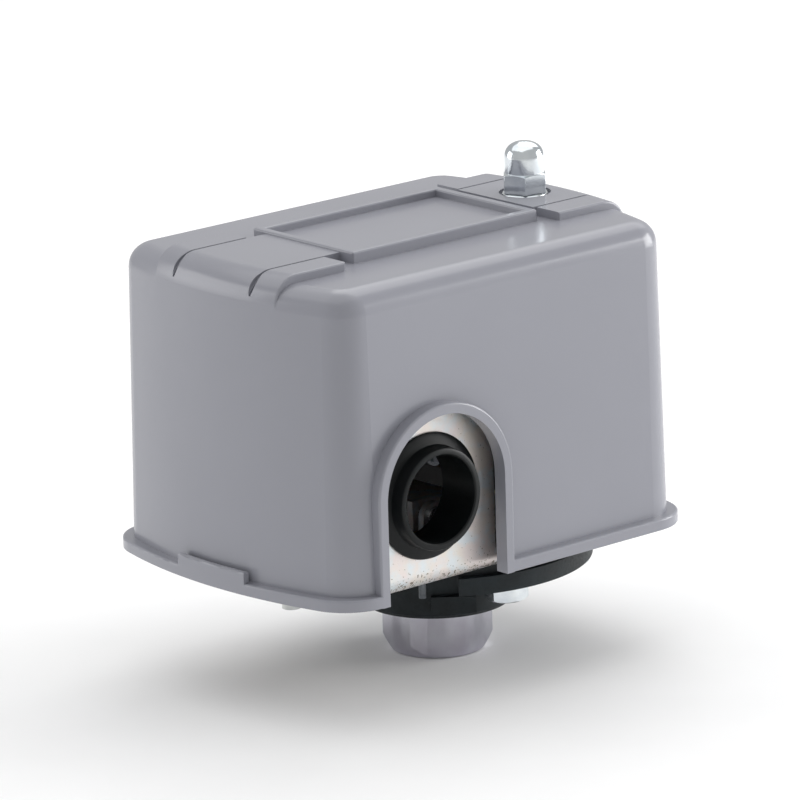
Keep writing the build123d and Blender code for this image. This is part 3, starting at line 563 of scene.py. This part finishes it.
# Studs: plain shanks with rolled threads where their nuts run
studSettings = {
    "range_stud": {"r": 3.0, "depth": 0.55, "pitch": 1.27, "threadLow": 58.0, "step": 87.4, "tip": 2.1},
    "differential_stud": {"r": 2.4, "depth": 0.45, "pitch": 1.0, "threadLow": 46.0, "step": None, "tip": 2.4},
}
for nodeName, s in studSettings.items():
    centre, low, high = nodeAxis(nodeName)
    radius, tip = s["r"] * mm, s["tip"] * mm
    threadLow = s["threadLow"] * mm
    threadHigh = s["step"] * mm if s["step"] else high - 0.5 * mm
    foot = turned([(0, low), (radius, low), (radius, threadLow - 0.01 * mm)], centre, 40)
    thread = threadGrid(radius, s["depth"] * mm, s["pitch"] * mm, threadLow, threadHigh, centre)
    parts = [foot, thread]
    if s["step"]:
        parts.append(threadGrid(tip, 0.35 * mm, 0.8 * mm, threadHigh + 0.02 * mm, high - 0.4 * mm, centre))
    else:
        tip = radius
    parts.append(turned([(tip - 0.4 * mm, high - 0.35 * mm), (tip - 0.7 * mm, high), (0, high)], centre, 40))
    piece = makePiece(nodeName + "_threaded", [(np.concatenate(parts), False, True)], rolledThread, "frame",
                      [nodeName], 0.0, 50)
print("studs done")


# Coil springs
# A wire's round section carried along a helix: the height climbs one wire's thickness a turn over the closed
# end turns and evenly between them
def coilPoints(wire, coilR, low, high, turns, endTurns=1.0, perTurn=36, section=10):
    angle = np.linspace(0, turns * 2 * np.pi, int(turns * perTurn))
    turn = angle / (2 * np.pi)
    endRise = 2 * wire * endTurns
    middle = (high - low - 2 * wire - 2 * endRise) / (turns - 2 * endTurns)
    climb = np.interp(turn, [0, endTurns, turns - endTurns, turns],
                      [0, endRise, endRise + middle * (turns - 2 * endTurns), high - low - 2 * wire])
    height = low + wire + climb
    path = np.stack([coilR * np.cos(angle), coilR * np.sin(angle), height], -1)
    tangent = np.gradient(path, axis=0)
    tangent /= np.linalg.norm(tangent, axis=1)[:, None]
    outward = np.stack([np.cos(angle), np.sin(angle), 0 * angle], -1)
    side = np.cross(tangent, outward)
    around = np.linspace(0, 2 * np.pi, section, endpoint=False)
    ring = np.cos(around)[None, :, None] * outward[:, None] + np.sin(around)[None, :, None] * side[:, None]
    points = path[:, None] + wire * ring
    ends = [np.repeat(path[i][None, None], section, 1) for i in (0, -1)]
    return np.concatenate([ends[0], points, ends[1]])


springSettings = {
    "range_spring": {"wire": 1.35, "turns": 8.5, "joint": "lever_swing", "keep": 0.923},
    "differential_spring": {"wire": 0.72, "turns": 9.5, "joint": "lever_swing", "keep": 0.917},
}
for nodeName, s in springSettings.items():
    low, high = (np.array(corner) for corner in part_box(nodeName))
    centre = (low + high) / 2
    wire = s["wire"] * mm
    points = coilPoints(wire, (high[0] - low[0]) / 2 - wire, low[2], high[2], s["turns"])
    points[..., :2] += centre[:2]
    piece = makePiece(nodeName + "_coil", [(points, False, True)], musicWire, "frame", [nodeName], 0.0, 60)
    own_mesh(piece)


# the same helix laid along X
def coilAlongX(low, high, wire, turns, y, z, coilR):
    points = coilPoints(wire, coilR, low, high, turns, perTurn=28, section=8)
    return np.stack([points[..., 2], y + points[..., 0], z + points[..., 1]], -1)


# The contact arm presses the toggle spring's one end further than the lever's post presses the other, so the
# real
#  spring shortens towards a point off its middle, the anchor, given as a fraction of its length; here the
#  coil is wound at rest along X through its node's box
toggleSettings = {"wire": 0.35 * mm, "turns": 10, "coilR": 1.8 * mm, "anchor": 0.6, "keep": 0.78}
low, high = (np.array(corner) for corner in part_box("toggle_spring"))
middle = (low + high) / 2
s = toggleSettings
points = coilAlongX(low[0], high[0], s["wire"], s["turns"], middle[1], middle[2], s["coilR"])
piece = makePiece("toggle_spring_coil", [(points, False, True)], musicWire, "frame", ["toggle_spring"], 0, 60)
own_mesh(piece)

contactSpringSettings = {"wire": 0.3 * mm, "turns": 5, "coilR": 2.05 * mm, "places": (-13.5 * mm, 13.5 * mm)}
low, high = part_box("contact_springs")
middleZ = (low[2] + high[2]) / 2
s = contactSpringSettings
grids = [(coilAlongX(low[0], high[0], s["wire"], s["turns"], y, middleZ, s["coilR"]), False, True)
         for y in s["places"]]
piece = makePiece("contact_springs_coil", grids, musicWire, "contact_arm", ["contact_springs"], 0, 60)
print("springs wound")


# Conduit bushings: a tube with rounded rims, a shallow step inside and a coned flange
bushingSettings = {"bore": 9.2, "step": 0.35, "stepY": 31.0, "tube": 10.6, "flange": 13.2, "wall": 32.6,
                   "coneTop": 33.8, "outer": 37.0, "inner": 26.5, "edge": 0.25}


# the profile runs round the section as (radius, distance from the middle plane)
def conduitBushing(side, settings):
    s = {key: value * mm for key, value in settings.items()}
    bore, tube, flange = s["bore"], s["tube"], s["flange"]
    wall, outer, edge = s["wall"], s["outer"], s["edge"]
    profile = [
        (bore + s["step"], s["inner"]), (tube - edge, s["inner"]), (tube, s["inner"] + edge),
        (tube, wall), (flange - edge, wall), (flange, wall + edge),
        (flange - 0.1 * mm, wall + 0.6 * mm), (flange - 0.5 * mm, wall + 0.85 * mm),
        (tube + 0.9 * mm, s["coneTop"]), (tube + 0.25 * mm, s["coneTop"] + 0.15 * mm),
        (tube, s["coneTop"] + 0.5 * mm), (tube, outer - edge),
        (tube - 0.1 * mm, outer - 0.1 * mm), (tube - edge, outer), (bore + edge, outer),
        (bore, outer - edge), (bore, s["stepY"]), (bore + s["step"], s["stepY"] - 0.1 * mm),
        (bore + s["step"], s["inner"]),
    ]
    node = "conduit_bushing_front" if side < 0 else "conduit_bushing_rear"
    low, high = (np.array(corner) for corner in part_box(node))
    centre = (low + high) / 2
    ring = turned(profile, (0, 0), 96)
    points = np.stack([centre[0] + ring[..., 0], side * ring[..., 2], centre[2] + ring[..., 1]], -1)
    return makePiece(node + "_moulded", [(points, False, True)], mouldedNylon, "frame", [node], 0, 40)


for side in (-1, 1):
    conduitBushing(side, bushingSettings)
print("bushings done")


# Floor, sky and lamps
studioSettings = {"floorHalf": 4.0, "floorDrop": 0.0002, "sky": 0.56}


def studio(settings):
    half, drop = settings["floorHalf"], settings["floorDrop"]
    mesh = bpy.data.meshes.new("floor")
    corners = [(x * half, y * half, -drop) for x, y in ((-1, -1), (1, -1), (1, 1), (-1, 1))]
    mesh.from_pydata(corners, [], [(0, 1, 2, 3)])
    floor = bpy.data.objects.new("floor", mesh)
    bpy.context.scene.collection.objects.link(floor)
    shader = {"Roughness": 0.9, "Specular IOR Level": 0.1}
    paper, tree, coords, surface = newMaterial("paper_matt_white", shader)
    fibre = addNode(tree, "ShaderNodeTexNoise", {"Scale": 40.0, "Detail": 4.0}, {"Vector": coords})
    tones = {"data_type": "RGBA", 6: linearColour("#f6f6f6"), 7: linearColour("#fbfbfb")}
    colour = addNode(tree, "ShaderNodeMix", tones, {0: fibre.outputs["Fac"]})
    tree.links.new(colour.outputs[2], surface.inputs["Base Color"])
    mesh.materials.append(paper)
    world = bpy.data.worlds.new("sky")
    world.use_nodes = True
    sky = world.node_tree.nodes["Background"]
    sky.inputs["Color"].default_value = (1.0, 1.0, 1.0, 1.0)
    sky.inputs["Strength"].default_value = settings["sky"]
    bpy.context.scene.world = world


lampSettings = [
    {"name": "key_softbox", "place": (0.50, 0.28, 0.72), "size": 0.70, "power": 2.0},
    {"name": "top_softbox", "place": (0.0, 0.18, 0.98), "size": 1.30, "power": 4.2},
    {"name": "right_softbox", "place": (0.92, -0.50, 0.26), "size": 0.60, "power": 8.2},
    {"name": "left_softbox", "place": (-0.66, 0.74, 0.26), "size": 0.60, "power": 2.4},
]


def addLamp(settings, target=(0.0, 0.0, 0.05)):
    lamp = bpy.data.lights.new(settings["name"], "AREA")
    lamp.shape, lamp.size, lamp.energy = "SQUARE", settings["size"], settings["power"]
    holder = bpy.data.objects.new(settings["name"], lamp)
    bpy.context.scene.collection.objects.link(holder)
    place = Vector(settings["place"])
    aim = (place - Vector(target)).to_track_quat("Z", "Y")
    holder.matrix_world = Matrix.Translation(place) @ aim.to_matrix().to_4x4()


studio(studioSettings)
for settings in lampSettings:
    addLamp(settings)
print("studio lit")
